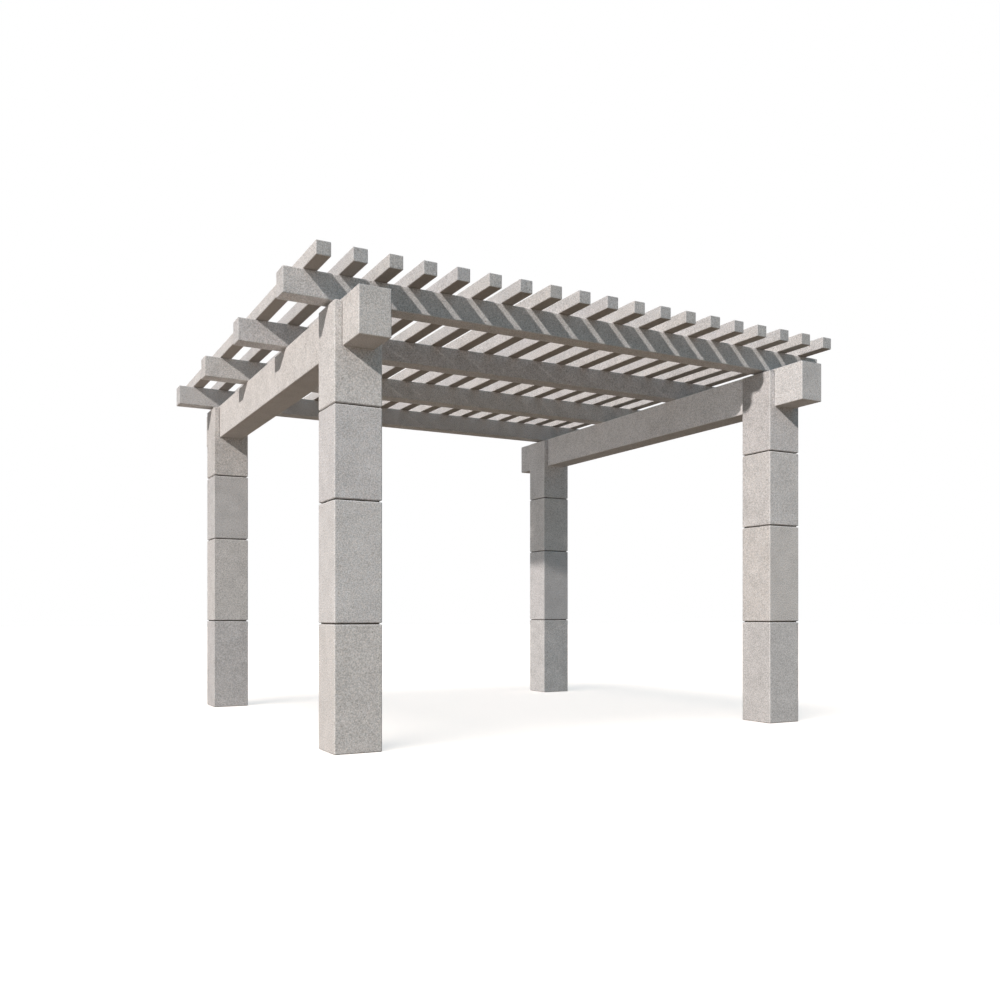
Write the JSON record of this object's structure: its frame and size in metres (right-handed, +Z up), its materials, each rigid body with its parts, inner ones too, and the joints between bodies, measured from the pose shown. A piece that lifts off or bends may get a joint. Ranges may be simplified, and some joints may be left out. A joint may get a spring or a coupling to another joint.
{
  "type": "stone pergola",
  "caption": "Free-standing cast stone pergola: coursed square posts with forked heads carry long girders, cross beams and a roof of open slats.",
  "frame": {"origin": "on the ground, at the middle of the posts", "axes": "+X along the cross beams, to the right seen from the front; +Y along the girders and slats, towards the back; +Z up"},
  "size_m": [4.3, 4.16, 2.939],
  "materials": {
    "post_stone": "matte",
    "girder_stone": "matte",
    "cross_beam_stone": "matte",
    "slat_stone": "matte"
  },
  "bodies": {
    "root": {"cross_beam_1": "cross_beam_stone", "cross_beam_2": "cross_beam_stone", "cross_beam_3": "cross_beam_stone", "cross_beam_4": "cross_beam_stone", "girder_left": "girder_stone", "girder_right": "girder_stone", "post_back_left_course_1": "post_stone", "post_back_left_course_2": "post_stone", "post_back_left_course_3": "post_stone", "post_back_left_head": "post_stone", "post_back_right_course_1": "post_stone", "post_back_right_course_2": "post_stone", "post_back_right_course_3": "post_stone", "post_back_right_head": "post_stone", "post_front_left_course_1": "post_stone", "post_front_left_course_2": "post_stone", "post_front_left_course_3": "post_stone", "post_front_left_head": "post_stone", "post_front_right_course_1": "post_stone", "post_front_right_course_2": "post_stone", "post_front_right_course_3": "post_stone", "post_front_right_head": "post_stone", "slat_01": "slat_stone", "slat_02": "slat_stone", "slat_03": "slat_stone", "slat_04": "slat_stone", "slat_05": "slat_stone", "slat_06": "slat_stone", "slat_07": "slat_stone", "slat_08": "slat_stone", "slat_09": "slat_stone", "slat_10": "slat_stone", "slat_11": "slat_stone", "slat_12": "slat_stone", "slat_13": "slat_stone", "slat_14": "slat_stone", "slat_15": "slat_stone", "slat_16": "slat_stone", "slat_17": "slat_stone", "slat_18": "slat_stone", "slat_19": "slat_stone"}
  },
  "joints": []
}
